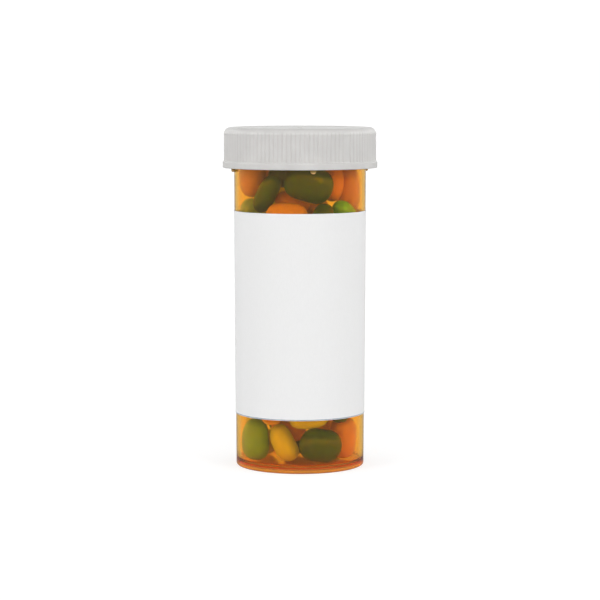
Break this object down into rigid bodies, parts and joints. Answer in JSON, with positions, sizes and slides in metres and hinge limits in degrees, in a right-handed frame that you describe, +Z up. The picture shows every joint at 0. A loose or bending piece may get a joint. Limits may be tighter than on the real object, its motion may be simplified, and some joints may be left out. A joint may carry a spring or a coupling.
{
  "type": "prescription vial",
  "caption": "Amber cylindrical vial with a ribbed white push-down-and-turn closure, a wrapped paper label and a fill of glossy jelly beans.",
  "frame": {"origin": "centre of the foot, on the plane that the vial stands on", "axes": "+Z up along the vial's axis; the middle of the label faces -Y"},
  "size_m": [0.0576, 0.0576, 0.1267],
  "materials": {
    "vial": "amber translucent, glossy",
    "label": "smooth matt white paper",
    "cap_shell": "white, satin moulded",
    "spring_disc": "natural white, satin",
    "seal_wad": "fine white foam",
    "beans_orange": "polished sugar shell",
    "beans_green": "polished sugar shell",
    "beans_dark_green": "polished sugar shell",
    "beans_yellow": "polished sugar shell"
  },
  "bodies": {
    "vial_body": {"vial": "vial", "label": "label", "beans_orange": "beans_orange", "beans_green": "beans_green", "beans_dark_green": "beans_dark_green", "beans_yellow": "beans_yellow"},
    "seal": {"seal_wad": "seal_wad"},
    "spring": {"spring_disc": "spring_disc"},
    "cap": {"cap_shell": "cap_shell"}
  },
  "joints": [
    {"name": "cap_lift", "type": "slide", "parent": "vial_body", "child": "seal", "axis": [0, 0, 1], "range_m": [0, 0.04]},
    {"name": "cap_turn", "type": "hinge", "parent": "seal", "child": "spring", "pos_m": [0, 0, 0.1219], "axis": [0, 0, 1], "range_deg": [-35, 0]},
    {"name": "cap_press", "type": "slide", "parent": "spring", "child": "cap", "axis": [0, 0, 1], "range_m": [-0.0004, 0.001], "stiffness_N_per_m": 3000, "deforming": ["spring_disc"]}
  ]
}
